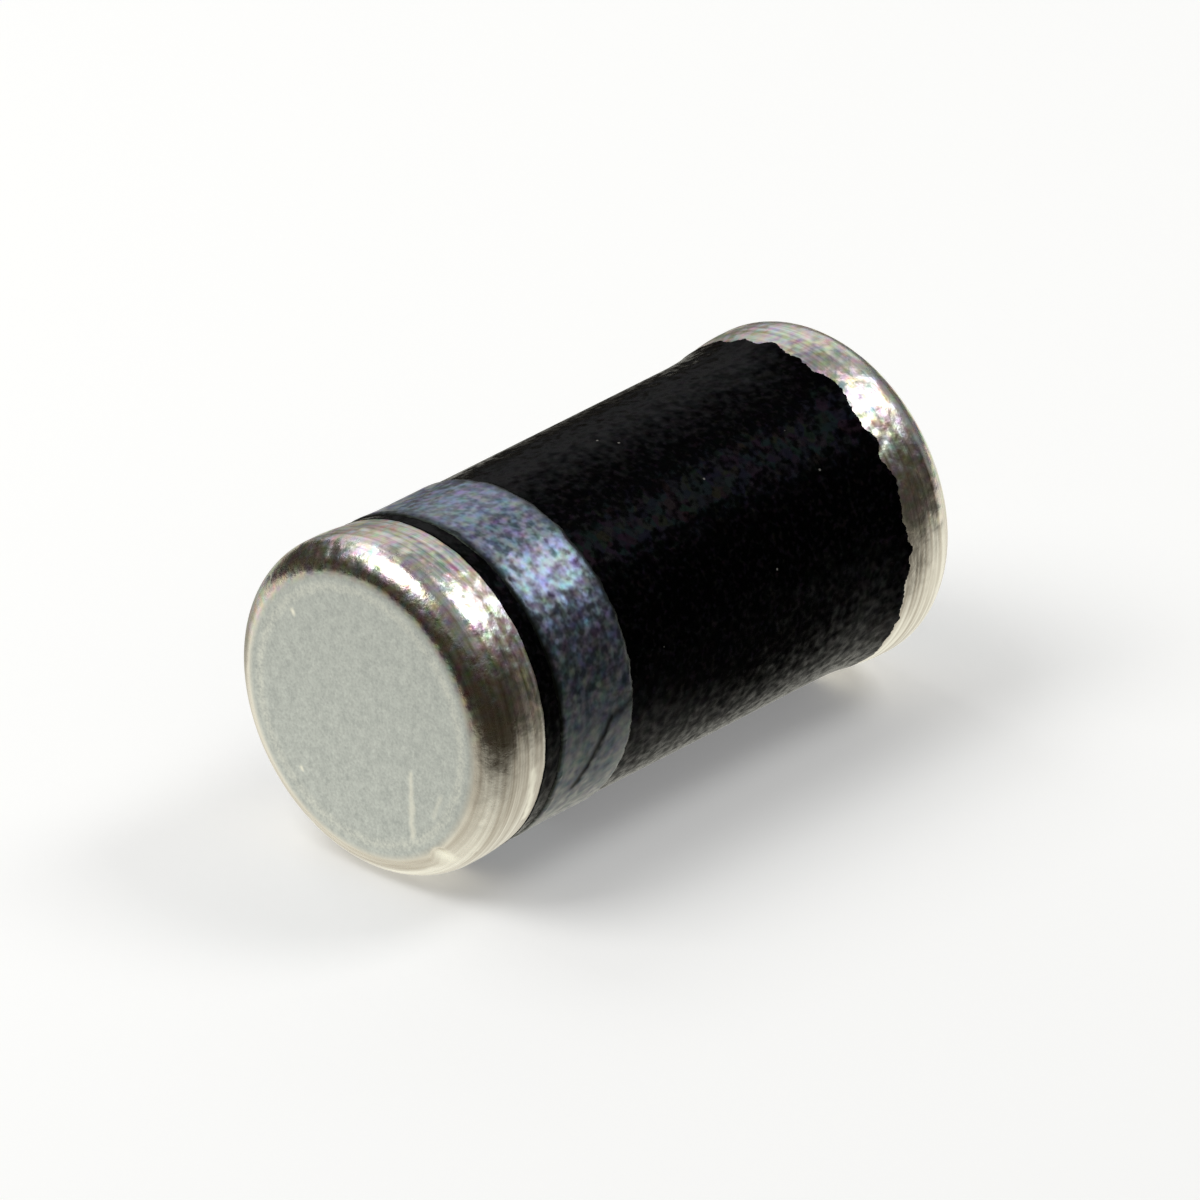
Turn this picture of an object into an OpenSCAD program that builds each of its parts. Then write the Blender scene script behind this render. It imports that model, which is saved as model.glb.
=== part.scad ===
// Plastic MELF rectifier diode.
// A silicon chip is soldered between two headed copper terminals, coated with silicone rubber,
// moulded in black epoxy and marked with a printed band at its cathode end.
// It lies on its side as it is soldered to a board: the axis runs along X with the cathode at -X,
// and the two tinned heads touch the board plane z = 0.

/* [Package] */
// Length over the two end faces
package_l = 5.0; // [4.7:0.05:5.4]
// Diameter of the moulded body between its flared ends
body_d = 2.5; // [2.3:0.01:2.58]

/* [Terminals] */
// Diameter of the tinned heads
head_d = 2.6; // [2.52:0.01:2.8]
// Thickness of a head, which is the length that the moulding leaves bare
head_t = 0.6; // [0.46:0.01:0.7]
// Radius that rounds the rim of the end face
rim_r = 0.27; // [0.08:0.01:0.3]
// Straight land behind the rim, before the taper starts
land_l = 0.13; // [0.05:0.01:0.16]
// Length of the taper from the head's diameter down to the body's
taper_l = 0.48; // [0.2:0.02:0.7]
// Diameter of the stem that carries the chip
stem_d = 1.3; // [1.1:0.05:1.5]
// Radius in the corner between the head and its stem
neck_r = 0.12; // [0.05:0.01:0.2]
// Distance from the head's back to the middle of the groove that locks the moulding
groove_from_head = 0.6; // [0.45:0.05:0.9]
// Radius of the lock groove's half-round section
groove_r = 0.1; // [0.05:0.01:0.14]

/* [Chip] */
// Side of the square chip
chip_s = 1.05; // [0.9:0.05:1.2]
// Thickness of the chip with its mesa
chip_t = 0.26; // [0.2:0.01:0.34]
// Side of the square mesa on the anode face
mesa_s = 0.86; // [0.8:0.02:0.9]
// Height of the mesa
mesa_h = 0.06; // [0.03:0.01:0.1]
// Diameter of each solder joint
solder_d = 0.78; // [0.6:0.02:0.8]
// Thickness of each solder joint
solder_t = 0.06; // [0.03:0.01:0.1]

/* [Coating] */
// Greatest diameter of the rubber bead around the chip
bead_d = 2.0; // [1.8:0.05:2.15]
// Length of the bead along the stems
bead_l = 1.1; // [0.9:0.05:1.3]

/* [Cathode band] */
// Width of bare moulding between the cathode head and the band
band_gap = 0.16; // [0.1:0.01:0.6]
// Width of the band
band_w = 0.76; // [0.4:0.02:1.2]
// Thickness of the printed ink
ink_t = 0.02; // [0.01:0.005:0.04]

/* [Hidden] */
$fn = 128;

half_l = package_l / 2;
body_r = body_d / 2;
head_r = head_d / 2;
stem_r = stem_d / 2;
bead_r = bead_d / 2;
// Where the stem's end face stands, and where the taper begins and ends, from the middle of the diode
stem_end = chip_t / 2 + solder_t;
taper_from = half_l - rim_r - land_l;
taper_to = taper_from - taper_l;
// Plane between head and moulding, from the middle
head_back = half_l - head_t;
// Radius of the arc that swells from the stem to the bead's greatest diameter and back
bead_rise = bead_r - stem_r;
bead_arc_r = (pow(bead_l / 2, 2) + pow(bead_rise, 2)) / (2 * bead_rise);

tin = "#b4b6ae";
solder_grey = "#8f9296";
silicon_grey = "#4c5058";
rubber_white = "#e4e2dc";
epoxy_black = "#151515";
ink_grey = "#858a96";

// Turns a profile, drawn with its radius along X and the diode's axis along Y, into a lying solid.
module lying() {
    translate([0, 0, head_r])
        rotate([0, 90, 0])
            children();
}

// Draws its children, which are made for the anode end, at the cathode end.
module at_cathode_end() {
    mirror([0, 1])
        children();
}

// Outline of the whole package before the rims are rounded: two heads, two tapers and the straight body.
module package_outline() {
    polygon([
        [0, -half_l], [head_r, -half_l], [head_r, -taper_from], [body_r, -taper_to],
        [body_r, taper_to], [head_r, taper_from], [head_r, half_l], [0, half_l]
    ]);
}

// The part of the package outline between two stations on the axis, grown outwards by a layer's thickness.
module outline_between(from, to, layer = 0) {
    intersection() {
        translate([layer, 0])
            package_outline();
        translate([0, from])
            square([2 * head_r, to - from]);
    }
}

// The corner that a rounding of radius r takes off an outside edge at the origin, or fills in an inside one.
module corner(r) {
    difference() {
        square(r);
        translate([r, r])
            circle(r = r);
    }
}

// Stem of the anode terminal with the radius under its head and its lock groove.
module stem_profile() {
    difference() {
        union() {
            translate([0, stem_end])
                square([stem_r, head_back - stem_end]);
            translate([stem_r, head_back])
                mirror([0, 1])
                    corner(neck_r);
        }
        translate([stem_r, head_back - groove_from_head])
            circle(r = groove_r);
    }
}

// Head of the anode terminal with its rounded rim.
module head_profile() {
    difference() {
        outline_between(head_back, half_l);
        translate([head_r, half_l])
            rotate(180)
                corner(rim_r);
    }
}

module terminal_profile() {
    head_profile();
    stem_profile();
}

// Lens-shaped bead that swells between the two stems.
module bead_profile() {
    intersection() {
        translate([bead_r - bead_arc_r, 0])
            circle(r = bead_arc_r);
        translate([0, -bead_l / 2])
            square([bead_r, bead_l]);
    }
}

module terminal() {
    color(tin)
        lying()
            rotate_extrude()
                children();
}

module cathode_terminal() {
    terminal()
        at_cathode_end()
            terminal_profile();
}

module anode_terminal() {
    terminal()
        terminal_profile();
}

// One solder joint, from the chip's face outwards along the given side of the axis.
module solder_joint(side) {
    color(solder_grey)
        lying()
            translate([0, 0, side * (chip_t + solder_t) / 2])
                cylinder(d = solder_d, h = solder_t, center = true);
}

module cathode_solder() {
    solder_joint(-1);
}

module anode_solder() {
    solder_joint(1);
}

// Square block of silicon with the mesa of its junction on the anode side.
module chip_block() {
    base_t = chip_t - mesa_h;
    translate([-chip_s / 2, -chip_s / 2, -chip_t / 2])
        cube([chip_s, chip_s, base_t]);
    translate([-mesa_s / 2, -mesa_s / 2, chip_t / 2 - mesa_h])
        cube([mesa_s, mesa_s, mesa_h]);
}

module silicon_chip() {
    color(silicon_grey)
        lying()
            chip_block();
}

module junction_coating() {
    color(rubber_white)
        lying()
            difference() {
                rotate_extrude()
                    difference() {
                        bead_profile();
                        stem_profile();
                        at_cathode_end()
                            stem_profile();
                        translate([0, -stem_end])
                            square([solder_d / 2, 2 * stem_end]);
                    }
                chip_block();
            }
}

module moulded_body() {
    color(epoxy_black)
        lying()
            rotate_extrude()
                difference() {
                    outline_between(-head_back, head_back);
                    stem_profile();
                    at_cathode_end()
                        stem_profile();
                    bead_profile();
                }
}

module cathode_band() {
    band_from = band_gap - head_back;
    color(ink_grey)
        lying()
            rotate_extrude()
                difference() {
                    outline_between(band_from, band_from + band_w, ink_t);
                    package_outline();
                }
}

cathode_terminal();
anode_terminal();
cathode_solder();
anode_solder();
silicon_chip();
junction_coating();
moulded_body();
cathode_band();
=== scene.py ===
import math
import random

import bmesh
import bpy
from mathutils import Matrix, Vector


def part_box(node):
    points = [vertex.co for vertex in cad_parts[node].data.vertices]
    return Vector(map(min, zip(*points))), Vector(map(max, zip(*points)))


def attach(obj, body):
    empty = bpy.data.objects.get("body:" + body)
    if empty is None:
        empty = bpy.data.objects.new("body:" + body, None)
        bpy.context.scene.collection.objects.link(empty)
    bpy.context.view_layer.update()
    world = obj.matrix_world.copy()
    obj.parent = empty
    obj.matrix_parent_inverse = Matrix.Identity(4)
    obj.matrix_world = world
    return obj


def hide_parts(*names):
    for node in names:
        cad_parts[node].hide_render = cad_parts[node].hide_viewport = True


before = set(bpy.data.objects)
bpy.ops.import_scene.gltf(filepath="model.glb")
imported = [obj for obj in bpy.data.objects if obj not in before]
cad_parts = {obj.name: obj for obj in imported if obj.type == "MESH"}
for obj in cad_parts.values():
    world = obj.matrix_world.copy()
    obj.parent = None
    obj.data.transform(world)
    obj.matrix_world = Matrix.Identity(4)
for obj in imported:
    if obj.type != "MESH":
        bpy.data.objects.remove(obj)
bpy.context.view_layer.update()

mm = 0.001  # the dictionaries hold millimetres and degrees


def hexToLinear(code):  # sRGB hex to the linear colour that a socket takes
    channels = [int(code[i:i + 2], 16) / 255 for i in (1, 3, 5)]
    linear = [c / 12.92 if c <= 0.04045 else ((c + 0.055) / 1.055) ** 2.4 for c in channels]
    return (*linear, 1.0)


def setInputs(tree, node, inputs):  # a value is set on its socket; an output, or a node's first output, is linked to it
    for name, value in inputs.items():
        if isinstance(value, bpy.types.Node):
            value = value.outputs[0]
        if isinstance(value, bpy.types.NodeSocket):
            tree.links.new(value, node.inputs[name])
        else:
            node.inputs[name].default_value = value


def addNode(tree, kind, settings=None, inputs=None):
    node = tree.nodes.new(kind)
    for name, value in (settings or {}).items():
        setattr(node, name, value)
    setInputs(tree, node, inputs or {})
    return node


def startMaterial(name):
    material = bpy.data.materials.new(name)
    material.use_nodes = True
    tree = material.node_tree
    return material, tree, tree.nodes["Principled BSDF"]


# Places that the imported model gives, in millimetres
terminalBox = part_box("anode_terminal")
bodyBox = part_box("moulded_body")
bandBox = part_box("cathode_band")
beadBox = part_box("junction_coating")
halfLength = terminalBox[1][0] / mm
headRadius = (terminalBox[1][2] - terminalBox[0][2]) / 2 / mm
axisHeight = (terminalBox[1][2] + terminalBox[0][2]) / 2 / mm
stemEnd = terminalBox[0][0] / mm
headBack = bodyBox[1][0] / mm
print("frame loaded, package", round(2 * halfLength, 3), "mm long, heads", round(2 * headRadius, 3), "mm across")

# Photograph's view: degrees and millimetres
view = {"azimuth": -47.2, "elevation": 27.8, "distance": 250.0, "field": 8.664, "aimRight": 0.0217, "aimUp": -0.0217,
        "sensor": 36.0, "clipEnd": 2000.0}

azimuth, elevation = math.radians(view["azimuth"]), math.radians(view["elevation"])
back = Vector((math.sin(azimuth) * math.cos(elevation), -math.cos(azimuth) * math.cos(elevation),
               math.sin(elevation)))
right = Vector((math.cos(azimuth), math.sin(azimuth), 0))
up = back.cross(right)
aim = (Vector((0, 0, axisHeight)) + right * view["aimRight"] + up * view["aimUp"]) * mm
cameraData = bpy.data.cameras.new("photoCamera")
cameraData.sensor_width = view["sensor"]
cameraData.lens = view["sensor"] * view["distance"] / view["field"]
cameraData.clip_end = view["clipEnd"] * mm
camera = bpy.data.objects.new("photoCamera", cameraData)
camera.location = aim + back * view["distance"] * mm
camera.rotation_euler = back.to_track_quat("Z", "Y").to_euler()
bpy.context.collection.objects.link(camera)
bpy.context.scene.camera = camera
bpy.context.scene.view_settings.view_transform = "Standard"

# Outline of the package that heads, moulding and band share; the taper's corners are soft, and it starts later
# at the anode
package = {"bodyRadius": 1.25, "rim": 0.27, "land": 0.13, "taper": 0.48, "anodeLater": 0.12, "startBlend": 0.22,
           "endBlend": 0.06}

taperFrom = halfLength - package["rim"] - package["land"]
taperTo = taperFrom - package["taper"]
taperSlope = (headRadius - package["bodyRadius"]) / package["taper"]


def softRamp(travel, blend):
    if abs(travel) >= blend:
        return max(travel, 0)
    return (travel + blend) ** 2 / (4 * blend)


def outlineRadius(x):
    start = taperTo + (package["anodeLater"] if x > 0 else 0)
    slope = (headRadius - package["bodyRadius"]) / (taperFrom - start)
    climb = softRamp(abs(x) - start, package["startBlend"]) - softRamp(abs(x) - taperFrom, package["endBlend"])
    return package["bodyRadius"] + slope * climb


def arcPoints(centreX, centreRadius, radius, fromDegrees, toDegrees, steps):
    points = []
    for i in range(steps + 1):
        angle = math.radians(fromDegrees + (toDegrees - fromDegrees) * i / steps)
        points.append((centreX + radius * math.cos(angle), centreRadius + radius * math.sin(angle)))
    return points


# Turned pieces: one tree turns a profile about the diode's axis and lets its marked edges wander. Each profile point
# says how far it goes with a wandering edge along the axis and outwards, and how much raggedness and lean it takes
turning = {"endOffset": 7.3, "roughness": 0.62, "crispAngle": 38.0, "mergeDistance": 4e-6}
edgeShares = ("along", "climb", "ragged", "lean")


def makeTurningTree():
    tree = bpy.data.node_groups.new("turnProfileOnAxis", "GeometryNodeTree")
    for name, kind in (("Profile", "Geometry"), ("Segments", "Int"), ("Axis Height", "Float"), ("Wander", "Float"),
                       ("Wander Size", "Float"), ("Wander Detail", "Float"), ("Lean", "Float"),
                       ("Lean Angle", "Float"), ("Seed", "Int"), ("Material", "Material")):
        tree.interface.new_socket(name=name, in_out="INPUT", socket_type="NodeSocket" + kind)
    tree.interface.new_socket(name="Piece", in_out="OUTPUT", socket_type="NodeSocketGeometry")
    given = addNode(tree, "NodeGroupInput").outputs

    # A grid with a row for each point of the profile and a column for each step round the axis
    rows = addNode(tree, "GeometryNodeAttributeDomainSize", {"component": "MESH"}, {"Geometry": given["Profile"]})
    columns = addNode(tree, "ShaderNodeMath", {"operation": "ADD"}, {0: given["Segments"], 1: 1.0})
    grid = addNode(tree, "GeometryNodeMeshGrid", {}, {"Vertices X": rows.outputs["Point Count"], "Vertices Y": columns})
    index = addNode(tree, "GeometryNodeInputIndex")
    share = addNode(tree, "ShaderNodeMath", {"operation": "DIVIDE"}, {0: index, 1: columns})
    row = addNode(tree, "ShaderNodeMath", {"operation": "FLOOR"}, {0: share})
    column = addNode(tree, "ShaderNodeMath", {"operation": "MODULO"}, {0: index, 1: columns})
    step = addNode(tree, "ShaderNodeMath", {"operation": "MODULO"}, {0: column, 1: given["Segments"]})
    turn = addNode(tree, "ShaderNodeMath", {"operation": "DIVIDE"}, {0: step, 1: given["Segments"]})
    angle = addNode(tree, "ShaderNodeMath", {"operation": "MULTIPLY"}, {0: turn, 1: 2 * math.pi})
    cosine = addNode(tree, "ShaderNodeMath", {"operation": "COSINE"}, {0: angle})
    sine = addNode(tree, "ShaderNodeMath", {"operation": "SINE"}, {0: angle})

    # The profile's point for this row, and its shares in the wandering edge
    position = addNode(tree, "GeometryNodeInputPosition")
    point = addNode(tree, "GeometryNodeSampleIndex", {"data_type": "FLOAT_VECTOR"},
                    {"Geometry": given["Profile"], "Value": position, "Index": row})
    place = addNode(tree, "ShaderNodeSeparateXYZ", {}, {0: point})
    sampled = {}
    for name in edgeShares:
        attribute = addNode(tree, "GeometryNodeInputNamedAttribute", {"data_type": "FLOAT"}, {"Name": name})
        sampled[name] = addNode(tree, "GeometryNodeSampleIndex", {"data_type": "FLOAT"},
                                {"Geometry": given["Profile"], "Value": attribute, "Index": row})

    # One noise round the circle for each end, so that the two edges differ
    around = addNode(tree, "ShaderNodeCombineXYZ", {}, {"X": cosine, "Y": sine})
    circle = addNode(tree, "ShaderNodeVectorMath", {"operation": "SCALE"}, {0: around, "Scale": given["Axis Height"]})
    finer = addNode(tree, "ShaderNodeMath", {"operation": "DIVIDE"}, {0: 1.0, 1: given["Wander Size"]})
    end = addNode(tree, "ShaderNodeMath", {"operation": "SIGN"}, {0: sampled["along"]})
    track = addNode(tree, "ShaderNodeMath", {"operation": "MULTIPLY_ADD"},
                    {0: end, 1: turning["endOffset"], 2: given["Seed"]})
    noise = addNode(tree, "ShaderNodeTexNoise", {"noise_dimensions": "4D"},
                    {"Vector": circle, "W": track, "Scale": finer, "Detail": given["Wander Detail"],
                     "Roughness": turning["roughness"]})
    centred = addNode(tree, "ShaderNodeMath", {"operation": "SUBTRACT"}, {0: noise, 1: 0.5})
    wander = addNode(tree, "ShaderNodeMath", {"operation": "MULTIPLY"}, {0: centred, 1: given["Wander"]})
    ragged = addNode(tree, "ShaderNodeMath", {"operation": "MULTIPLY"}, {0: wander, 1: sampled["ragged"]})
    off = addNode(tree, "ShaderNodeMath", {"operation": "SUBTRACT"}, {0: angle, 1: given["Lean Angle"]})
    swing = addNode(tree, "ShaderNodeMath", {"operation": "COSINE"}, {0: off})
    lean = addNode(tree, "ShaderNodeMath", {"operation": "MULTIPLY"}, {0: swing, 1: given["Lean"]})
    drift = addNode(tree, "ShaderNodeMath", {"operation": "MULTIPLY_ADD"}, {0: lean, 1: sampled["lean"], 2: ragged})
    along = addNode(tree, "ShaderNodeMath", {"operation": "MULTIPLY_ADD"},
                    {0: drift, 1: sampled["along"], 2: place.outputs["X"]})
    radius = addNode(tree, "ShaderNodeMath", {"operation": "MULTIPLY_ADD"},
                     {0: drift, 1: sampled["climb"], 2: place.outputs["Z"]})
    across = addNode(tree, "ShaderNodeMath", {"operation": "MULTIPLY"}, {0: radius, 1: sine})
    height = addNode(tree, "ShaderNodeMath", {"operation": "MULTIPLY_ADD"},
                     {0: radius, 1: cosine, 2: given["Axis Height"]})
    turned = addNode(tree, "ShaderNodeCombineXYZ", {}, {"X": along, "Y": across, "Z": height})

    placed = addNode(tree, "GeometryNodeSetPosition", {}, {"Geometry": grid, "Position": turned})
    closed = addNode(tree, "GeometryNodeMergeByDistance", {},
                     {"Geometry": placed, "Distance": turning["mergeDistance"] * mm})
    smooth = addNode(tree, "GeometryNodeSetShadeSmooth", {"domain": "FACE"},
                     {"Geometry": closed, "Shade Smooth": True})
    bend = addNode(tree, "GeometryNodeInputMeshEdgeAngle")
    corner = addNode(tree, "ShaderNodeMath", {"operation": "GREATER_THAN"},
                     {0: bend.outputs["Unsigned Angle"], 1: math.radians(turning["crispAngle"])})
    crisp = addNode(tree, "GeometryNodeSetShadeSmooth", {"domain": "EDGE"},
                    {"Geometry": smooth, "Selection": corner, "Shade Smooth": False})
    real = addNode(tree, "GeometryNodeRealizeInstances", {}, {"Geometry": crisp})
    finished = addNode(tree, "GeometryNodeSetMaterial", {}, {"Geometry": real, "Material": given["Material"]})
    addNode(tree, "NodeGroupOutput", {}, {"Piece": finished})
    return tree


turningTree = makeTurningTree()


def turnPiece(name, profile, settings, material):  # profile points: x and radius in millimetres, then the edge shares
    mesh = bpy.data.meshes.new(name)
    mesh.from_pydata([(p[0] * mm, 0, p[1] * mm) for p in profile], [], [])
    for column, attributeName in enumerate(edgeShares, 2):
        attribute = mesh.attributes.new(attributeName, "FLOAT", "POINT")
        attribute.data.foreach_set("value", [p[column] if len(p) > column else 0.0 for p in profile])
    piece = bpy.data.objects.new(name, mesh)
    bpy.context.collection.objects.link(piece)
    modifier = piece.modifiers.new("turning", "NODES")
    modifier.node_group = turningTree
    sockets = {item.name: item.identifier for item in turningTree.interface.items_tree if item.in_out == "INPUT"}
    values = {"Segments": settings["segments"], "Axis Height": axisHeight * mm, "Wander": settings["wander"] * mm,
              "Wander Size": settings["wanderSize"] * mm, "Wander Detail": settings["wanderDetail"],
              "Lean": settings["lean"] * mm, "Lean Angle": math.radians(settings["leanAngle"]),
              "Seed": settings["seed"], "Material": material}
    for socketName, value in values.items():
        modifier[sockets[socketName]] = value
    evaluated = piece.evaluated_get(bpy.context.evaluated_depsgraph_get())
    turned = bpy.data.meshes.new_from_object(evaluated)
    piece.modifiers.clear()
    piece.data = turned
    turned.name = name
    bpy.data.meshes.remove(mesh)
    form = bmesh.new()
    form.from_mesh(turned)
    bmesh.ops.recalc_face_normals(form, faces=form.faces)
    openEdges = sum(not edge.is_manifold for edge in form.edges)
    form.to_mesh(turned)
    form.free()
    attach(piece, "root")
    print(name, len(turned.polygons), "faces,", openEdges, "open edges")
    return piece


# Materials
def facetNormal(tree, cellColour, tilt):  # leans the surface's normal by a random amount in each cell
    centred = addNode(tree, "ShaderNodeVectorMath", {"operation": "SUBTRACT"}, {0: cellColour, 1: (0.5, 0.5, 0.5)})
    leaning = addNode(tree, "ShaderNodeVectorMath", {"operation": "SCALE"}, {0: centred, "Scale": tilt})
    normal = addNode(tree, "ShaderNodeNewGeometry").outputs["Normal"]
    leant = addNode(tree, "ShaderNodeVectorMath", {"operation": "ADD"}, {0: normal, 1: leaning})
    return addNode(tree, "ShaderNodeVectorMath", {"operation": "NORMALIZE"}, {0: leant})


# 1 on a stroke between two points and 0 beside it; strokes draw scratches and one painted highlight. Depth counts
# for little, so that it holds on a curve but not on the far side
strokeDepthShare = 0.1


def strokeMask(tree, coords, stroke):
    start, finish = Vector(stroke["from"]), Vector(stroke["to"])
    outward = Vector(stroke["outward"]).normalized()
    along = (finish - start).normalized()
    middle = addNode(tree, "ShaderNodeVectorMath", {"operation": "SUBTRACT"},
                     {0: coords, 1: (start + finish) / 2 * mm})
    sides = [addNode(tree, "ShaderNodeVectorMath", {"operation": "DOT_PRODUCT"}, {0: middle, 1: axis}).outputs["Value"]
             for axis in (along, along.cross(outward).normalized(), outward * strokeDepthShare)]
    reach = addNode(tree, "ShaderNodeMath", {"operation": "ABSOLUTE"}, {0: sides[0]})
    past = addNode(tree, "ShaderNodeMath", {"operation": "SUBTRACT"}, {0: reach, 1: (finish - start).length / 2 * mm})
    over = addNode(tree, "ShaderNodeMath", {"operation": "MAXIMUM"}, {0: past, 1: 0.0})
    offset = addNode(tree, "ShaderNodeCombineXYZ", {}, {"X": over, "Y": sides[1], "Z": sides[2]})
    distance = addNode(tree, "ShaderNodeVectorMath", {"operation": "LENGTH"}, {0: offset}).outputs["Value"]
    return addNode(tree, "ShaderNodeMapRange", {"interpolation_type": "SMOOTHSTEP"},
                   {"Value": distance, "From Min": stroke["width"] * mm, "From Max": 0.0, "To Max": stroke["strength"]})


def wobbled(tree, coords, noiseColour, amount):  # coordinates that stray, so that a stroke's edge isn't ruled
    stray = addNode(tree, "ShaderNodeVectorMath", {"operation": "SUBTRACT"}, {0: noiseColour, 1: (0.5, 0.5, 0.5)})
    reach = (amount * mm, amount * mm, amount * mm)
    return addNode(tree, "ShaderNodeVectorMath", {"operation": "MULTIPLY_ADD"}, {0: stray, 1: reach, 2: coords})


# Matte tin electroplated over cold-headed copper: a grey, fine-grained end face that hardly shines, and a warmer
# side with draw lines round it, whose crystals glitter in the highlight. The real grains are a few micrometres
# across; grain and crystals are drawn as coarse as they need to show
tinPlate = {
    # The pale tin colour serves scratches and knocks, and also the painted ring and a painted highlight
    "faceDull": "#a6abac", "faceBright": "#ccd1d0", "sideBright": "#ebe8e0", "sideDull": "#b4aca1", "paleTinAndGlint": "#f6f4ea",
    "faceFade": (0.014, 0.001), "grain": 0.022, "mottle": 0.1, "grainShare": 0.45, "toneLimits": (0.36, 0.64),
    # A bright ring just inside the face's edge is a painted reflection
    "glintRing": 0.99, "ringWidth": 0.07, "ringShare": 0.3,
    # The crystals' tint is a painted glint colour, given only high on the side where the light strikes
    "crystal": 0.075, "paintedGlintTint": 0.31, "litFrom": 1.4, "litTo": 2.0,
    "rimTilt": 0.22, "crystalTilt": 0.55, "lowTilt": 0.22, "grainTilt": 0.05,
    "drawWidth": 0.04, "drawLength": 1.6, "lineLimits": (0.35, 0.65),
    "faceRoughness": 0.38, "rimRoughness": 0.24, "edgeRoughness": 0.34, "unevenness": 0.08, "rimMiddle": 0.5,
    "faceRelief": 0.0016, "drawRelief": 0.0025, "upperRelief": 0.0006, "stray": 0.05,
    "strokes": [
        {"from": (-2.5, -0.492, 1.0025), "to": (-2.5, -0.511, 0.512), "outward": (1, 0, 0),
         "width": 0.048, "strength": 0.46},
        {"from": (-2.5, -0.79, 0.93), "to": (-2.5, -0.72, 0.74), "outward": (1, 0, 0),
         "width": 0.034, "strength": 0.26},
        {"from": (-2.5, 0.659, 1.905), "to": (-2.5, 0.662, 1.915), "outward": (1, 0, 0),
         "width": 0.042, "strength": 0.9},
        {"from": (-2.5, 0.58, 0.668), "to": (-2.5, 0.583, 0.678), "outward": (1, 0, 0),
         "width": 0.034, "strength": 0.8},
        {"from": (-2.48, -0.8, 0.432), "to": (-2.48, -0.745, 0.412), "outward": (1, 0, 0),
         "width": 0.095, "strength": 1.0},
        # A painted highlight, not a mark: a glint low on the cathode's taper
        {"from": (-2.06, -1.28, 1.139), "to": (-2.0, -1.1475, 0.7106), "outward": (0, -0.95, -0.3),
         "width": 0.06, "strength": 1.0}]}


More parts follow.
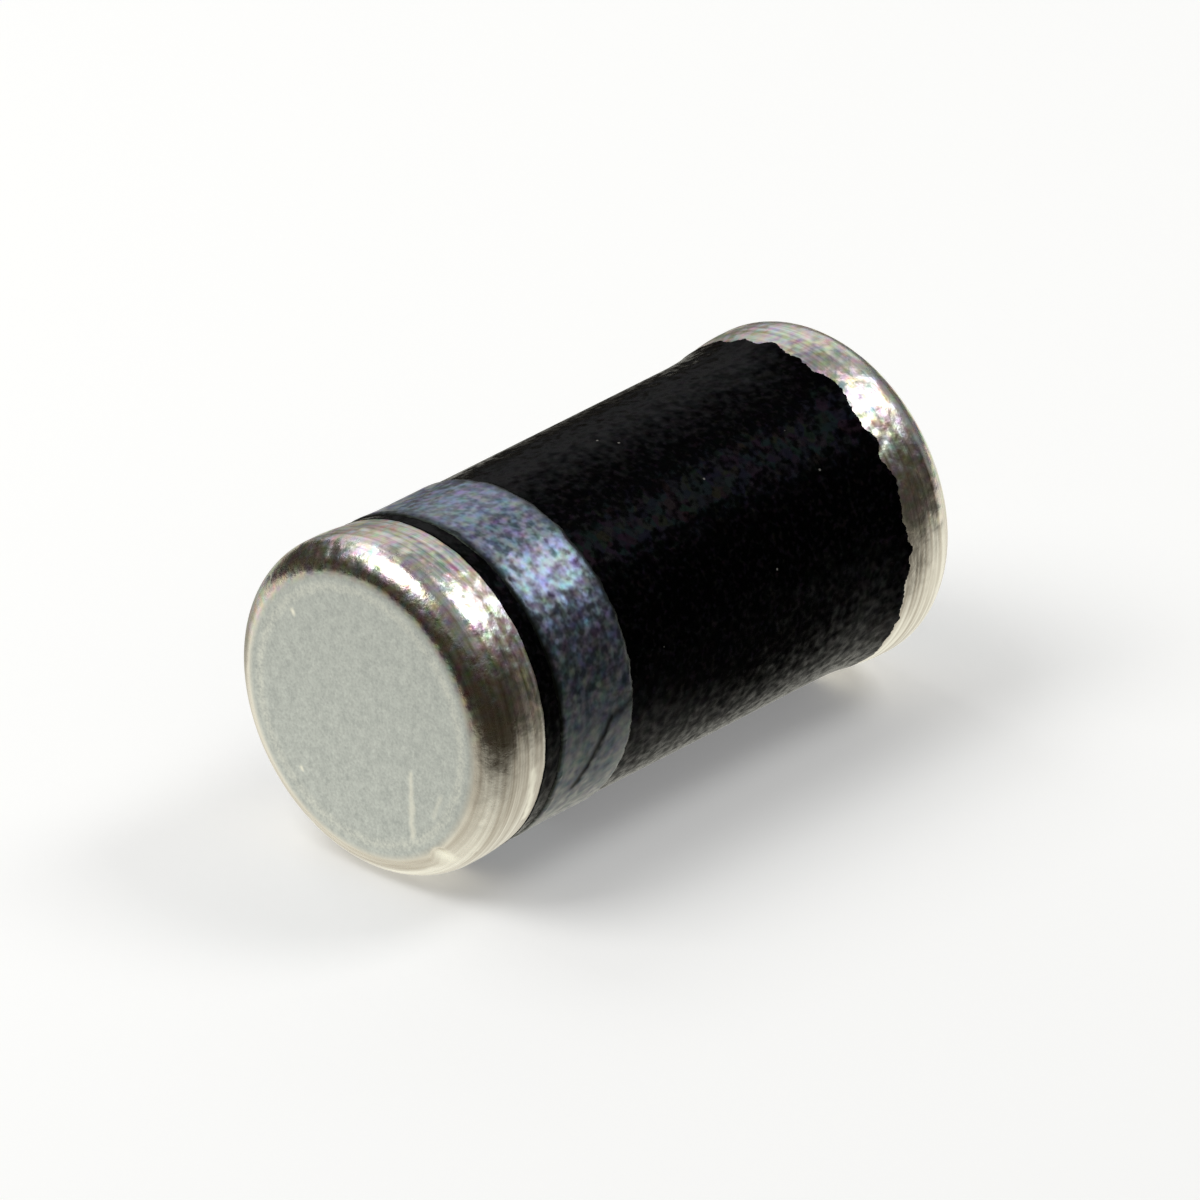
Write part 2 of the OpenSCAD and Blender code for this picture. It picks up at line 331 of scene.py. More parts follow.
def makeTinPlate(name, look):
    material, tree, shader = startMaterial(name)
    coords = addNode(tree, "ShaderNodeTexCoord").outputs["Object"]
    place = addNode(tree, "ShaderNodeSeparateXYZ", {}, {0: coords})
    reach = addNode(tree, "ShaderNodeMath", {"operation": "ABSOLUTE"}, {0: place.outputs["X"]})
    fadeFrom, fadeTo = [(halfLength - depth) * mm for depth in look["faceFade"]]
    face = addNode(tree, "ShaderNodeMapRange", {}, {"Value": reach, "From Min": fadeFrom, "From Max": fadeTo})
    fromAxis = addNode(tree, "ShaderNodeVectorMath", {"operation": "MULTIPLY_ADD"},
                       {0: coords, 1: (0, 1, 1), 2: (0, 0, -axisHeight * mm)})
    radius = addNode(tree, "ShaderNodeVectorMath", {"operation": "LENGTH"}, {0: fromAxis}).outputs["Value"]

    grain, mottle, crystals = [
        addNode(tree, "ShaderNodeTexNoise", {}, {"Vector": coords, "Scale": 1 / (look[size] * mm), "Detail": detail,
                                                 "Roughness": roughness})
        for size, detail, roughness in (("grain", 2.0, 0.6), ("mottle", 5.0, 0.75), ("crystal", 1.0, 0.5))]
    fine, long = 1 / (look["drawWidth"] * mm), 1 / (look["drawLength"] * mm)
    stretched = addNode(tree, "ShaderNodeMapping", {}, {"Vector": coords, "Scale": (fine, long, long)})
    draw = addNode(tree, "ShaderNodeTexNoise", {},
                   {"Vector": stretched, "Scale": 1.0, "Detail": 3.0, "Roughness": 0.55})

    # End face: dull and bright grains in patches, and a bright ring near its edge that is a painted reflection
    patches = addNode(tree, "ShaderNodeMix", {"data_type": "FLOAT"}, {0: look["grainShare"], 2: mottle, 3: grain})
    tone = addNode(tree, "ShaderNodeMapRange", {}, {"Value": patches, "From Min": look["toneLimits"][0],
                                                    "From Max": look["toneLimits"][1]})
    onFace = addNode(tree, "ShaderNodeMix", {"data_type": "RGBA"},
                     {0: tone, 6: hexToLinear(look["faceDull"]), 7: hexToLinear(look["faceBright"])}).outputs[2]
    offRing = addNode(tree, "ShaderNodeMath", {"operation": "SUBTRACT"}, {0: radius, 1: look["glintRing"] * mm})
    besideRing = addNode(tree, "ShaderNodeMath", {"operation": "ABSOLUTE"}, {0: offRing})
    ringGlint = addNode(tree, "ShaderNodeMapRange", {"interpolation_type": "SMOOTHSTEP"},
                   {"Value": besideRing, "From Min": look["ringWidth"] * mm, "From Max": 0.0,
                    "To Max": look["ringShare"]})
    patchy = addNode(tree, "ShaderNodeMath", {"operation": "MULTIPLY"}, {0: ringGlint, 1: tone})
    paleTinAndGlint = addNode(tree, "ShaderNodeMix", {"data_type": "RGBA"},
                     {0: patchy, 6: onFace, 7: hexToLinear(look["paleTinAndGlint"])}).outputs[2]

    # Side: draw lines, and a painted glint tint on the crystals high on the side, where the light strikes; then the
    # strokes over all
    lines = addNode(tree, "ShaderNodeMapRange", {}, {"Value": draw, "From Min": look["lineLimits"][0],
                                                     "From Max": look["lineLimits"][1]})
    lined = addNode(tree, "ShaderNodeMix", {"data_type": "RGBA"},
                    {0: lines, 6: hexToLinear(look["sideBright"]), 7: hexToLinear(look["sideDull"])}).outputs[2]
    upper = addNode(tree, "ShaderNodeMapRange", {}, {"Value": place.outputs["Z"], "From Min": look["litFrom"] * mm,
                                                     "From Max": look["litTo"] * mm})
    glintTinge = addNode(tree, "ShaderNodeMath", {"operation": "MULTIPLY"}, {0: upper, 1: look["paintedGlintTint"]})
    onSide = addNode(tree, "ShaderNodeMix", {"data_type": "RGBA", "blend_type": "LINEAR_LIGHT", "clamp_result": True},
                     {0: glintTinge, 6: lined, 7: crystals.outputs["Color"]}).outputs[2]
    colour = addNode(tree, "ShaderNodeMix", {"data_type": "RGBA"}, {0: face, 6: onSide, 7: paleTinAndGlint}).outputs[2]
    strayed = wobbled(tree, coords, crystals.outputs["Color"], look["stray"])
    for stroke in look["strokes"]:
        mask = strokeMask(tree, strayed, stroke)
        colour = addNode(tree, "ShaderNodeMix", {"data_type": "RGBA"},
                         {0: mask, 6: colour, 7: hexToLinear(look["paleTinAndGlint"])}).outputs[2]

    # The burnished rim is the smoothest, and the plating roughens towards the moulding
    rimTop = (halfLength - look["rimMiddle"] * package["rim"]) * mm
    towardsRim = addNode(tree, "ShaderNodeMapRange", {},
                         {"Value": reach, "From Min": headBack * mm, "From Max": rimTop})
    sideRough = addNode(tree, "ShaderNodeMapRange", {},
                        {"Value": towardsRim, "To Min": look["edgeRoughness"], "To Max": look["rimRoughness"]})
    rough = addNode(tree, "ShaderNodeMapRange", {},
                    {"Value": face, "To Min": sideRough, "To Max": look["faceRoughness"]})
    uneven = addNode(tree, "ShaderNodeMath", {"operation": "MULTIPLY_ADD"}, {0: tone, 1: look["unevenness"], 2: rough})

    # The crystals lean most high on the side, and the draw lines stand out most low down
    coarse = addNode(tree, "ShaderNodeMapRange", {},
                     {"Value": upper, "To Min": look["lowTilt"], "To Max": look["crystalTilt"]})
    sideTilt = addNode(tree, "ShaderNodeMapRange", {},
                       {"Value": towardsRim, "To Min": coarse, "To Max": look["rimTilt"]})
    tilt = addNode(tree, "ShaderNodeMapRange", {}, {"Value": face, "To Min": sideTilt, "To Max": look["grainTilt"]})
    glitter = facetNormal(tree, crystals.outputs["Color"], tilt)
    grained = addNode(tree, "ShaderNodeMath", {"operation": "MULTIPLY"}, {0: grain, 1: look["faceRelief"] * mm})
    relief = addNode(tree, "ShaderNodeMapRange", {},
                     {"Value": upper, "To Min": look["drawRelief"] * mm, "To Max": look["upperRelief"] * mm})
    surface = addNode(tree, "ShaderNodeMath", {"operation": "MULTIPLY_ADD"}, {0: draw, 1: relief, 2: grained})
    bump = addNode(tree, "ShaderNodeBump", {}, {"Height": surface, "Distance": 1.0, "Strength": 1.0, "Normal": glitter})
    setInputs(tree, shader, {"Metallic": 1.0, "Base Color": colour, "Roughness": uneven, "Normal": bump})
    return material


# Mineral-filled black epoxy, transfer-moulded: deep black with a satin grain, a few pale filler specks, and a thin
# resin skin whose grains glint blue, violet and green where the light strikes. The filler is finer in life; grain and
# glints are drawn as coarse as they need to show
blackEpoxy = {
    "black": "#020202", "grey": "#0e0e11", "grain": 0.045, "toneLimits": (0.52, 0.74), "tint": 0.8,
    "speck": "#77756f", "speckSpacing": 0.32, "speckSize": 0.012, "speckCore": 0.5,
    "glint": "#a8aaff", "glintSize": 0.07, "glintTint": 0.9, "tilt": 0.5,
    "roughness": 0.24, "unevenness": 0.1, "specular": 0.013, "skin": 0.02, "skinRoughness": 0.24}


def makeBlackEpoxy(name, look):
    material, tree, shader = startMaterial(name)
    coords = addNode(tree, "ShaderNodeTexCoord").outputs["Object"]
    grain, glints = [
        addNode(tree, "ShaderNodeTexNoise", {}, {"Vector": coords, "Scale": 1 / (look[size] * mm), "Detail": 1.0,
                                                 "Roughness": 0.5})
        for size in ("grain", "glintSize")]
    tone = addNode(tree, "ShaderNodeMapRange", {}, {"Value": grain, "From Min": look["toneLimits"][0],
                                                    "From Max": look["toneLimits"][1]})
    filled = addNode(tree, "ShaderNodeMix", {"data_type": "RGBA"},
                     {0: tone, 6: hexToLinear(look["black"]), 7: hexToLinear(look["grey"])}).outputs[2]
    tinted = addNode(tree, "ShaderNodeMix", {"data_type": "RGBA", "blend_type": "OVERLAY"},
                     {0: look["tint"], 6: filled, 7: grain.outputs["Color"]}).outputs[2]
    specks = addNode(tree, "ShaderNodeTexVoronoi", {}, {"Vector": coords, "Scale": 1 / (look["speckSpacing"] * mm)})
    size = look["speckSize"] / look["speckSpacing"]
    speck = addNode(tree, "ShaderNodeMapRange", {},
                    {"Value": specks, "From Min": size, "From Max": size * look["speckCore"]})
    colour = addNode(tree, "ShaderNodeMix", {"data_type": "RGBA"},
                     {0: speck, 6: tinted, 7: hexToLinear(look["speck"])}).outputs[2]
    rough = addNode(tree, "ShaderNodeMath", {"operation": "MULTIPLY_ADD"},
                    {0: tone, 1: look["unevenness"], 2: look["roughness"]})
    cells = addNode(tree, "ShaderNodeTexVoronoi", {"feature": "SMOOTH_F1"},
                    {"Vector": coords, "Scale": 1 / (look["glintSize"] * mm), "Smoothness": 0.4})
    glint = addNode(tree, "ShaderNodeMix", {"data_type": "RGBA", "blend_type": "LINEAR_LIGHT", "clamp_result": True},
                    {0: look["glintTint"], 6: hexToLinear(look["glint"]), 7: cells.outputs["Color"]}).outputs[2]
    satin = facetNormal(tree, glints.outputs["Color"], look["tilt"])
    setInputs(tree, shader, {"Base Color": colour, "Roughness": rough, "Normal": satin,
                             "Specular IOR Level": look["specular"], "Specular Tint": glint,
                             "Coat Weight": look["skin"], "Coat Roughness": look["skinRoughness"],
                             "Coat Normal": satin})
    return material


# Silver-grey flake ink, printed: a slate band whose flakes glint lavender, green and pink where the light strikes,
# thinner by its edges and painted darker low down as shade, with one bent scratch through to the epoxy. The flakes are
# finer in life and are drawn as coarse as they need to show
flakeInk = {
    "slate": "#687080", "pale": "#95a0b3", "thinInkAndShade": "#282c27", "bare": "#0c0c0d",
    "flake": 0.085, "speckle": 0.055, "toneLimits": (0.36, 0.64), "tint": 0.5, "tilt": 0.46,
    # Below the first height the band is painted darker as shade, fully so at the second
    "unshadedHeight": 1.95, "shadedHeight": 1.25, "paintedShadeShare": 0.8, "edge": 0.09,
    "roughness": 0.31, "unevenness": 0.1, "metallic": 0.9, "specular": 0.02, "stray": 0.05,
    "strokes": [
        {"from": (-0.965, -1.27, 1.316), "to": (-1.218, -1.269, 1.243), "outward": (0, -1, 0),
         "width": 0.05, "strength": 0.75},
        {"from": (-1.218, -1.269, 1.243), "to": (-1.482, -1.146, 0.753), "outward": (0, -0.95, -0.25),
         "width": 0.06, "strength": 0.95}]}


def makeFlakeInk(name, look):
    material, tree, shader = startMaterial(name)
    coords = addNode(tree, "ShaderNodeTexCoord").outputs["Object"]
    place = addNode(tree, "ShaderNodeSeparateXYZ", {}, {0: coords})
    flakes, speckle = [
        addNode(tree, "ShaderNodeTexNoise", {}, {"Vector": coords, "Scale": 1 / (look[size] * mm), "Detail": 1.0,
                                                 "Roughness": 0.5})
        for size in ("flake", "speckle")]
    tone = addNode(tree, "ShaderNodeMapRange", {}, {"Value": speckle, "From Min": look["toneLimits"][0],
                                                    "From Max": look["toneLimits"][1]})
    full = addNode(tree, "ShaderNodeMix", {"data_type": "RGBA"},
                   {0: tone, 6: hexToLinear(look["slate"]), 7: hexToLinear(look["pale"])}).outputs[2]
    tinted = addNode(tree, "ShaderNodeMix", {"data_type": "RGBA", "blend_type": "OVERLAY"},
                     {0: look["tint"], 6: full, 7: flakes.outputs["Color"]}).outputs[2]
    half, middle = (bandBox[1][0] - bandBox[0][0]) / 2, (bandBox[1][0] + bandBox[0][0]) / 2
    offMiddle = addNode(tree, "ShaderNodeMath", {"operation": "SUBTRACT"}, {0: place.outputs["X"], 1: middle})
    aside = addNode(tree, "ShaderNodeMath", {"operation": "ABSOLUTE"}, {0: offMiddle})
    byEdge = addNode(tree, "ShaderNodeMapRange", {},
                     {"Value": aside, "From Min": half - look["edge"] * mm, "From Max": half})
    # Painted shade: lower on the band the colour goes towards the thin ink's colour
    low = addNode(tree, "ShaderNodeMapRange", {},
                  {"Value": place.outputs["Z"], "From Min": look["unshadedHeight"] * mm,
                   "From Max": look["shadedHeight"] * mm, "To Max": look["paintedShadeShare"]})
    thinnedAndShaded = addNode(tree, "ShaderNodeMath", {"operation": "MAXIMUM"}, {0: low, 1: byEdge})
    covered = addNode(tree, "ShaderNodeMix", {"data_type": "RGBA"},
                      {0: thinnedAndShaded, 6: tinted, 7: hexToLinear(look["thinInkAndShade"])}).outputs[2]
    strayed = wobbled(tree, coords, flakes.outputs["Color"], look["stray"])
    first, second = [strokeMask(tree, strayed, stroke) for stroke in look["strokes"]]
    bared = addNode(tree, "ShaderNodeMath", {"operation": "MAXIMUM"}, {0: first, 1: second})
    scratched = addNode(tree, "ShaderNodeMix", {"data_type": "RGBA"},
                        {0: bared, 6: covered, 7: hexToLinear(look["bare"])}).outputs[2]
    metallic = addNode(tree, "ShaderNodeMapRange", {}, {"Value": bared, "To Min": look["metallic"], "To Max": 0.0})
    rough = addNode(tree, "ShaderNodeMath", {"operation": "MULTIPLY_ADD"},
                    {0: tone, 1: look["unevenness"], 2: look["roughness"]})
    glitter = facetNormal(tree, flakes.outputs["Color"], look["tilt"])
    setInputs(tree, shader, {"Metallic": metallic, "Base Color": scratched, "Roughness": rough, "Normal": glitter,
                             "Specular IOR Level": look["specular"]})
    return material


# The solids inside, which stay as they are: reflowed solder, dull silver with frozen ripples; diced and etched
# silicon, steel grey and glossy with a fine grain; cast silicone rubber, milky and soft-skinned
innerTone = {"limits": (0.35, 0.65), "unevenness": 0.1}
innerLooks = {
    "solderReflowed": {"nodes": ("cathode_solder", "anode_solder"), "low": "#7e8185", "high": "#a6a9ad",
                       "pattern": 0.08, "metallic": 1.0, "roughness": 0.32, "relief": 0.004, "ior": 1.5},
    "siliconDicedEtched": {"nodes": ("silicon_chip",), "low": "#41454d", "high": "#5a5f69",
                           "pattern": 0.03, "metallic": 0.0, "roughness": 0.22, "relief": 0.001, "ior": 3.4},
    "siliconeRubberCast": {"nodes": ("junction_coating",), "low": "#dcdad3", "high": "#ebe9e4",
                           "pattern": 0.15, "metallic": 0.0, "roughness": 0.5, "relief": 0.003, "ior": 1.41}}


def makeInnerMaterial(name, look):
    material, tree, shader = startMaterial(name)
    coords = addNode(tree, "ShaderNodeTexCoord").outputs["Object"]
    mottle = addNode(tree, "ShaderNodeTexNoise", {},
                     {"Vector": coords, "Scale": 1 / (look["pattern"] * mm), "Detail": 4.0, "Roughness": 0.6})
    tone = addNode(tree, "ShaderNodeMapRange", {}, {"Value": mottle, "From Min": innerTone["limits"][0],
                                                    "From Max": innerTone["limits"][1]})
    colour = addNode(tree, "ShaderNodeMix", {"data_type": "RGBA"},
                     {0: tone, 6: hexToLinear(look["low"]), 7: hexToLinear(look["high"])}).outputs[2]
    rough = addNode(tree, "ShaderNodeMath", {"operation": "MULTIPLY_ADD"},
                    {0: tone, 1: innerTone["unevenness"], 2: look["roughness"]})
    bump = addNode(tree, "ShaderNodeBump", {}, {"Height": mottle, "Distance": look["relief"] * mm, "Strength": 1.0})
    setInputs(tree, shader, {"Metallic": look["metallic"], "IOR": look["ior"], "Base Color": colour,
                             "Roughness": rough, "Normal": bump})
    return material


for materialName, look in innerLooks.items():
    innerMaterial = makeInnerMaterial(materialName, look)
    for nodeName in look["nodes"]:
        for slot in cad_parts[nodeName].material_slots:
            slot.material = innerMaterial

tin = makeTinPlate("tinPlatedCopperMatte", tinPlate)
epoxy = makeBlackEpoxy("filledEpoxyMoulded", blackEpoxy)
ink = makeFlakeInk("flakeInkPrinted", flakeInk)
print("materials done")

# The two headed terminals, with fine draw lines on their sides
terminal = {"segments": 480, "wander": 0.0, "wanderSize": 1.0, "wanderDetail": 0.0, "lean": 0.0, "leanAngle": 0,
            "seed": 3, "stemRadius": 0.65, "neck": 0.12, "grooveFromHead": 0.6, "groove": 0.1,
            "faceRings": (0, 0.2, 0.4, 0.6, 0.8, 0.93), "rimSteps": 28, "neckSteps": 8, "grooveSteps": 12,
            "drawStep": 0.018, "drawDepth": 0.0008, "cathodeDeeper": 0.06, "cathodeSeed": 11, "anodeSeed": 12}


def headBackAt(side):  # the moulding leaves a little more of the cathode's head bare
    return headBack - (terminal["cathodeDeeper"] if side < 0 else 0)


def stemPoints(headEnd):  # under the head and along the stem to its lock groove, which the moulding fills
    stem, neck = terminal["stemRadius"], terminal["neck"]
    points = arcPoints(headEnd - neck, stem + neck, neck, 0, -90, terminal["neckSteps"])
    return points + arcPoints(headBack - terminal["grooveFromHead"], stem, terminal["groove"], 0, -180,
                              terminal["grooveSteps"])


def terminalProfile(side, seed):
    shape, rim, headEnd = terminal, package["rim"], headBackAt(side)
    lines = random.Random(seed)
    points = [(halfLength, (headRadius - rim) * share) for share in shape["faceRings"]]
    points += arcPoints(halfLength - rim, headRadius - rim, rim, 0, 90, shape["rimSteps"])
    steps = round((halfLength - rim - headEnd) / shape["drawStep"])
    for i in range(1, steps):
        x = halfLength - rim - (halfLength - rim - headEnd) * i / steps
        points.append((x, outlineRadius(side * x) - shape["drawDepth"] * lines.random()))
    points.append((headEnd, outlineRadius(side * headEnd)))
    points += stemPoints(headEnd)
    points += [(stemEnd, shape["stemRadius"]), (stemEnd, 0)]
    return [(side * x, radius) for x, radius in points]


# Dents: one nick in the cathode's rim, and small knocks from bulk handling round both rims
dents = {"nick": {"place": (-2.464, -0.762, 0.42), "size": 0.11, "depth": 0.03}, "knocks": 14, "smallest": 0.03,
         "largest": 0.085, "depth": 0.09, "lowestBend": 25, "highestBend": 95, "pressDepth": 1.5, "pressShare": 0.7,
         "seed": 8}


def pressDents(piece, side, extra):
    rim = package["rim"]
    chance = random.Random(dents["seed"] + side)
    spots = list(extra)
    for i in range(dents["knocks"]):
        angle, size = chance.uniform(0, 2 * math.pi), chance.uniform(dents["smallest"], dents["largest"])
        bend = math.radians(chance.uniform(dents["lowestBend"], dents["highestBend"]))
        x, radius = halfLength - rim * (1 - math.cos(bend)), headRadius - rim * (1 - math.sin(bend))
        spots.append({"place": (side * x, radius * math.sin(angle), axisHeight + radius * math.cos(angle)),
                      "size": size, "depth": size * dents["depth"]})
    pressX, axisZ = side * (halfLength - rim * dents["pressDepth"]) * mm, axisHeight * mm
    for spot in spots:
        centre, size = Vector(spot["place"]) * mm, spot["size"] * mm
        target = Vector((pressX, centre.y * dents["pressShare"], axisZ + (centre.z - axisZ) * dents["pressShare"]))
        inward = (target - centre).normalized()
        for vertex in piece.data.vertices:
            share = (vertex.co - centre).length / size
            if share < 1:
                vertex.co += inward * spot["depth"] * mm * (1 - share * share) ** 2


cathodeTerminal = turnPiece("cathodeTerminal", terminalProfile(-1, terminal["cathodeSeed"]), terminal, tin)
anodeTerminal = turnPiece("anodeTerminal", terminalProfile(1, terminal["anodeSeed"]), terminal, tin)
pressDents(cathodeTerminal, -1, [dents["nick"]])
pressDents(anodeTerminal, 1, [])
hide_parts("cathode_terminal")
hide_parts("anode_terminal")

# Moulding: its film laps over the heads' tapers with a ragged edge at the anode and a cleaner one at the cathode
moulding = {"segments": 720, "wander": 0.26, "wanderSize": 0.22, "wanderDetail": 3.0, "lean": 0.035, "leanAngle": -112,
            "seed": 5, "anodeLap": 0.045, "cathodeLap": 0.05, "anodeShare": 1.0, "cathodeShare": 0.15,
            "bodyRows": [0.3, 0.7, 1.1], "flareLead": 0.1, "flareSteps": 8, "film": 0.004,
            "filmRows": ((0.06, 0.3), (0.03, 0.8), (0.014, 1.0), (0.005, 0.8), (0.0, 0.3), (0.001, -0.7)),
            "edgeZone": 0.05, "beforeEdge": 0.6, "undercut": 0.02, "faceRow": 1.0, "beadSteps": 10}


def mouldingProfile():
    shape = moulding
    beadReach, beadRadius = beadBox[1][0] / mm, (beadBox[1][2] - beadBox[0][2]) / 2 / mm
    rise = beadRadius - terminal["stemRadius"]
    beadArc = (beadReach ** 2 + rise ** 2) / (2 * rise)
    swing = math.degrees(math.asin(beadReach / beadArc))

    def halfProfile(side, lap, ragged, lean):
        headEnd = headBackAt(side)
        steps = shape["flareSteps"]
        flare = [taperTo - shape["flareLead"] + (headEnd - taperTo) * i / steps for i in range(steps + 1)]
        outer = [(x, outlineRadius(side * x), 0.0) for x in shape["bodyRows"] + flare]
        for inset, film in shape["filmRows"]:  # the lap's edge, in from its end and as shares of the film's thickness
            x = headEnd + lap - inset
            follow = 1.0 if inset < shape["edgeZone"] else shape["beforeEdge"]
            outer.append((x, outlineRadius(side * x) + film * shape["film"], follow))
        inner = [(headEnd, outlineRadius(side * headEnd) - shape["undercut"]), (headEnd, shape["faceRow"])]
        inner += stemPoints(headEnd)
        inner += arcPoints(0, beadRadius - beadArc, beadArc, 90 - swing, 90, shape["beadSteps"])[:-1]
        points = outer + [(x, radius, 0.0) for x, radius in inner]
        return [(side * x, radius, side * follow, taperSlope * follow, ragged, lean) for x, radius, follow in points]

    anode = halfProfile(1, shape["anodeLap"], shape["anodeShare"], 0.0)
    cathode = halfProfile(-1, shape["cathodeLap"], shape["cathodeShare"], 1.0)
    middle = [(0.0, package["bodyRadius"])]
    return middle + anode + [(0.0, beadRadius)] + cathode[::-1] + middle


mouldedBody = turnPiece("mouldedBody", mouldingProfile(), moulding, epoxy)
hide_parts("moulded_body")

# Printed band: a film with wavy, feathered edges, sunk a little into the moulding so that no gap shows
band = {"segments": 720, "wander": 0.07, "wanderSize": 0.12, "wanderDetail": 4.0, "lean": 0.0, "leanAngle": 0,
        "seed": 21, "sink": 0.006, "feather": 0.05, "featherStep": 0.3, "featherLift": 0.5, "bleed": 0.015,
        "clearance": 0.002, "bendRows": 7, "bendStep": 0.03, "bendBefore": 0.08, "bendAfter": 0.1,
        "flatRows": (-1.4, -1.2)}


def bandProfile():
    shape, sunk = band, -band["sink"]
    feather, bendRows = shape["feather"], range(shape["bendRows"])
    front, rear = bandBox[0][0] / mm - shape["bleed"], bandBox[1][0] / mm + shape["bleed"]
    ink = (bandBox[1][2] - bandBox[0][2]) / 2 / mm - outlineRadius(front) - shape["clearance"]
    halfInk = shape["featherLift"] * ink
    rows = [(front, sunk, -1.0), (front + shape["featherStep"] * feather, halfInk, -1.0), (front + feather, ink, -1.0)]
    rows += [(-taperTo - shape["bendBefore"] + shape["bendStep"] * i, ink, 0.0) for i in bendRows]
    rows += [(x, ink, 0.0) for x in shape["flatRows"]]
    rows += [(rear - feather, ink, 1.0), (rear - shape["featherStep"] * feather, halfInk, 1.0), (rear, sunk, 1.0)]
    rows.append((shape["flatRows"][-1], sunk, 0.0))
    rows += [(-taperTo + shape["bendAfter"] - shape["bendStep"] * i, sunk, 0.0) for i in bendRows]
    rows.append((front, sunk, -1.0))
    return [(x, outlineRadius(x) + lift, edge, 0.0, 1.0, 0.0) for x, lift, edge in rows]


cathodeBand = turnPiece("cathodeBand", bandProfile(), band, ink)
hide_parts("cathode_band")
print("turned pieces done")

# Stage
stage = {"floor": "#f4f4f2", "floorReach": 300.0, "floorRoughness": 0.9, "floorSpecular": 0.1, "glow": 0.225,
         "world": "#808080", "worldLevel": 1.0, "dark": "#352f24",
         "curtainRadius": 90.0, "curtainHeight": 64.0, "curtainSides": 72, "openFrom": -30, "openTo": 55}
# The sheet that the metal mirrors, a painted reflection that only reflections see: bright about the diode, fading to
# the dark of the set, with painted soft shadows behind the body, in front of the anode and beyond it
litSheet = {"colour": "#fffdf0", "level": 1.08, "centre": (3.9, 2.7), "turn": -16, "stretch": 3.2, "bright": 4.5,
            "gone": 9.2, "shadowEdge": (0.6, 1.1),
            "shadows": [{"centre": (-0.5, 5.5), "turn": 0.0, "reach": (3.2, 3.0), "level": 0.4},
                        {"centre": (2.29, -3.16), "turn": 36.8, "reach": (1.1, 2.8), "level": 0.1},
                        {"centre": (7.1, 8.0), "turn": -40.0, "reach": (1.25, 5.0), "level": 0.2}]}
softBoxDistance = 60.0
softBoxes = [
    {"name": "keySoftBox", "towards": (0.54, -0.298, 0.788), "width": 22.0, "height": 22.0, "radiance": 5.36},
    {"name": "backSoftBox", "towards": (-0.45, 0.33, 0.83), "width": 34.0, "height": 34.0, "radiance": 4.5},
    {"name": "rimSoftBox", "towards": (0.06, 0.66, 0.75), "width": 20.0, "height": 20.0, "radiance": 2.6},
    {"name": "rearFill", "towards": (0.65, 0.62, 0.44), "width": 60.0, "height": 34.0, "radiance": 0.62}]

floorMesh = bpy.data.meshes.new("floor")
reach = stage["floorReach"] * mm
floorMesh.from_pydata([(-reach, -reach, 0), (reach, -reach, 0), (reach, reach, 0), (-reach, reach, 0)], [],
                      [(0, 1, 2, 3)])
floor = bpy.data.objects.new("floor", floorMesh)
bpy.context.collection.objects.link(floor)
floorMaterial, floorTree, floorShader = startMaterial("paleCardAndMirroredSheet")

# The camera sees a little glow, so that the lit floor is white and keeps the shadow; reflections see the lit sheet
path = addNode(floorTree, "ShaderNodeLightPath").outputs
glow = addNode(floorTree, "ShaderNodeMath", {"operation": "MULTIPLY"}, {0: path["Is Camera Ray"], 1: stage["glow"]})
setInputs(floorTree, floorShader, {"Base Color": hexToLinear(stage["floor"]), "Roughness": stage["floorRoughness"],
                                   "Specular IOR Level": stage["floorSpecular"], "Emission Color": (1, 1, 1, 1),
                                   "Emission Strength": glow})
bounced = addNode(floorTree, "ShaderNodeMath", {"operation": "MAXIMUM"},
                  {0: path["Is Glossy Ray"], 1: path["Is Transmission Ray"]})
floorCoords = addNode(floorTree, "ShaderNodeTexCoord").outputs["Object"]
squeezed = addNode(floorTree, "ShaderNodeMapping", {"vector_type": "TEXTURE"},
                   {"Vector": floorCoords, "Location": [c * mm for c in litSheet["centre"]] + [0],
                    "Rotation": (0, 0, math.radians(litSheet["turn"])), "Scale": (litSheet["stretch"], 1, 1)})
away = addNode(floorTree, "ShaderNodeVectorMath", {"operation": "LENGTH"}, {0: squeezed}).outputs["Value"]
lit = addNode(floorTree, "ShaderNodeMapRange", {"interpolation_type": "SMOOTHSTEP"},
              {"Value": away, "From Min": litSheet["gone"] * mm, "From Max": litSheet["bright"] * mm})
for shadow in litSheet["shadows"]:
    inShadow = addNode(floorTree, "ShaderNodeMapping", {"vector_type": "TEXTURE"},
                       {"Vector": floorCoords, "Location": [c * mm for c in shadow["centre"]] + [0],
                        "Rotation": (0, 0, math.radians(shadow["turn"])),
                        "Scale": [c * mm for c in shadow["reach"]] + [1]})
    fromShadow = addNode(floorTree, "ShaderNodeVectorMath", {"operation": "LENGTH"}, {0: inShadow}).outputs["Value"]
    unshaded = addNode(floorTree, "ShaderNodeMapRange", {"interpolation_type": "SMOOTHSTEP"},
                       {"Value": fromShadow, "From Min": litSheet["shadowEdge"][0],
                        "From Max": litSheet["shadowEdge"][1], "To Min": shadow["level"], "To Max": 1.0})
    lit = addNode(floorTree, "ShaderNodeMath", {"operation": "MULTIPLY"}, {0: lit, 1: unshaded})
sheetColour = addNode(floorTree, "ShaderNodeMix", {"data_type": "RGBA"},
                      {0: lit, 6: hexToLinear(stage["dark"]), 7: hexToLinear(litSheet["colour"])}).outputs[2]
mirrored = addNode(floorTree, "ShaderNodeEmission", {}, {"Color": sheetColour, "Strength": litSheet["level"]})
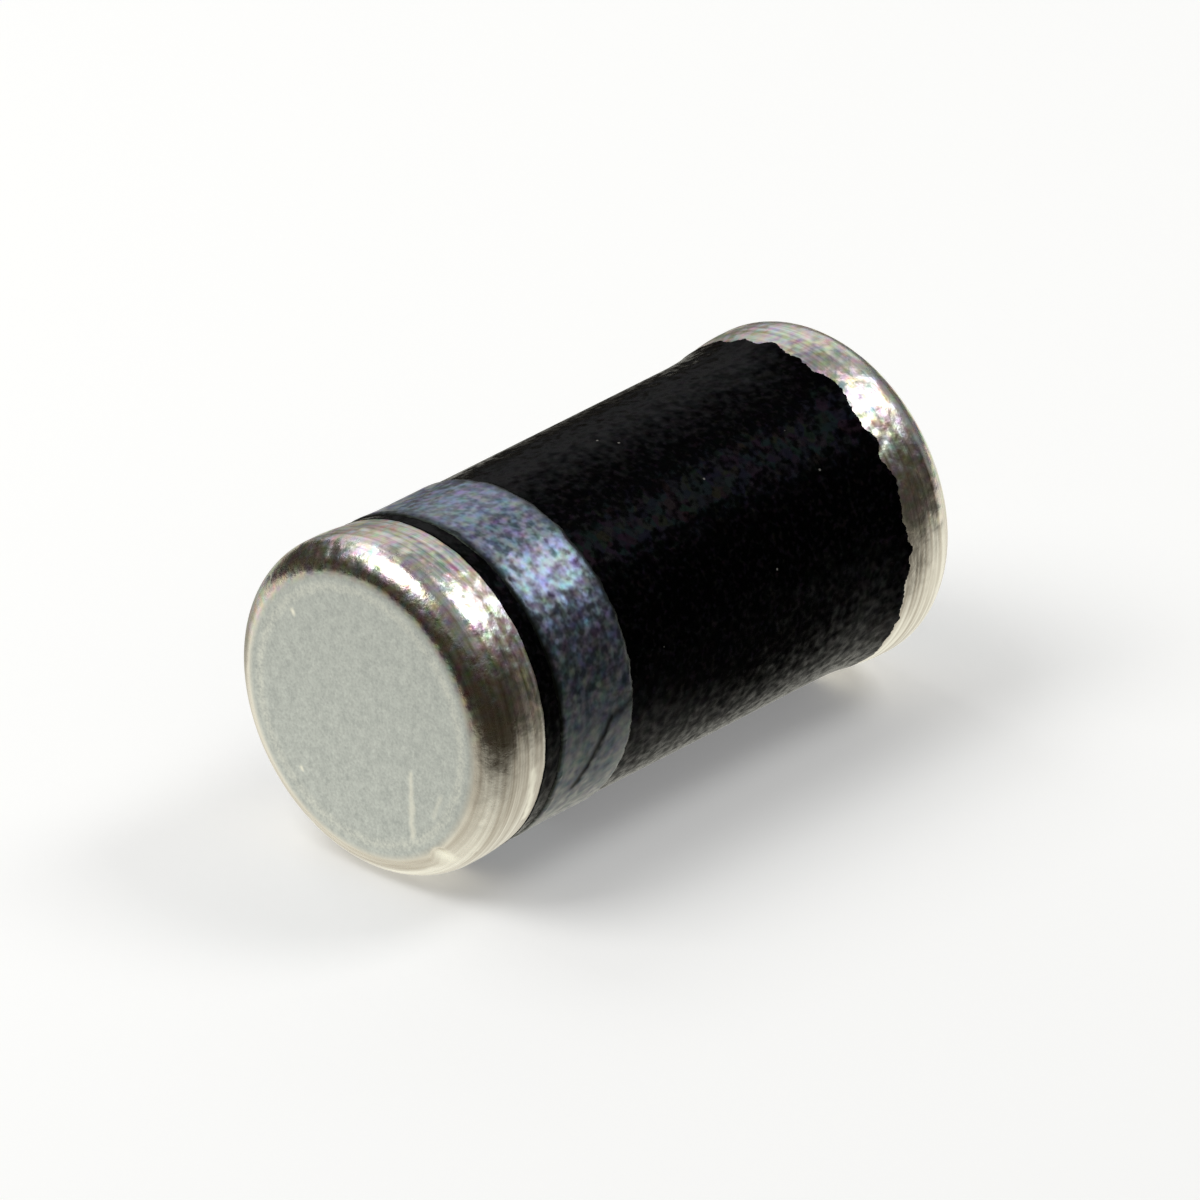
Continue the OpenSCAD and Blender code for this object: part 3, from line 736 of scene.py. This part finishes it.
mixed = addNode(floorTree, "ShaderNodeMixShader", {}, {0: bounced, 1: floorShader, 2: mirrored})
setInputs(floorTree, floorTree.nodes["Material Output"], {"Surface": mixed})
floorMesh.materials.append(floorMaterial)

# Dark curtains that only reflections see keep the room out of the metal; they glow faintly in the set's dark colour as
# a painted reflection, and are open beyond the anode
corners, panels = [], []
for i in range(stage["curtainSides"]):
    angle = 2 * math.pi * i / stage["curtainSides"]
    x, y = stage["curtainRadius"] * math.cos(angle) * mm, stage["curtainRadius"] * math.sin(angle) * mm
    corners += [(x, y, 0), (x, y, stage["curtainHeight"] * mm)]
    following = 2 * ((i + 1) % stage["curtainSides"])
    if (math.degrees(angle) - stage["openFrom"]) % 360 >= stage["openTo"] - stage["openFrom"]:
        panels.append((2 * i, following, following + 1, 2 * i + 1))
curtainMesh = bpy.data.meshes.new("curtains")
curtainMesh.from_pydata(corners, [], panels)
curtains = bpy.data.objects.new("curtains", curtainMesh)
bpy.context.collection.objects.link(curtains)
curtains.visible_camera = curtains.visible_diffuse = curtains.visible_shadow = curtains.visible_transmission = False
curtainMaterial, curtainTree, curtainShader = startMaterial("darkGlowForReflections")
setInputs(curtainTree, curtainShader, {"Base Color": (0, 0, 0, 1), "Specular IOR Level": 0.0,
                                       "Emission Color": hexToLinear(stage["dark"]), "Emission Strength": 1.0})
curtainMesh.materials.append(curtainMaterial)

world = bpy.data.worlds.new("studio")
world.use_nodes = True
bpy.context.scene.world = world
setInputs(world.node_tree, world.node_tree.nodes["Background"],
          {"Color": hexToLinear(stage["world"]), "Strength": stage["worldLevel"]})

for box in softBoxes:
    lamp = bpy.data.lights.new(box["name"], "AREA")
    lamp.shape = "RECTANGLE"
    lamp.size, lamp.size_y = box["width"] * mm, box["height"] * mm
    lamp.energy = box["radiance"] * math.pi * lamp.size * lamp.size_y
    light = bpy.data.objects.new(box["name"], lamp)
    towards = Vector(box["towards"]).normalized()
    light.location = (towards * softBoxDistance + Vector((0, 0, axisHeight))) * mm
    light.rotation_euler = towards.to_track_quat("Z", "Y").to_euler()
    light.visible_camera = False
    bpy.context.collection.objects.link(light)
print("stage done")
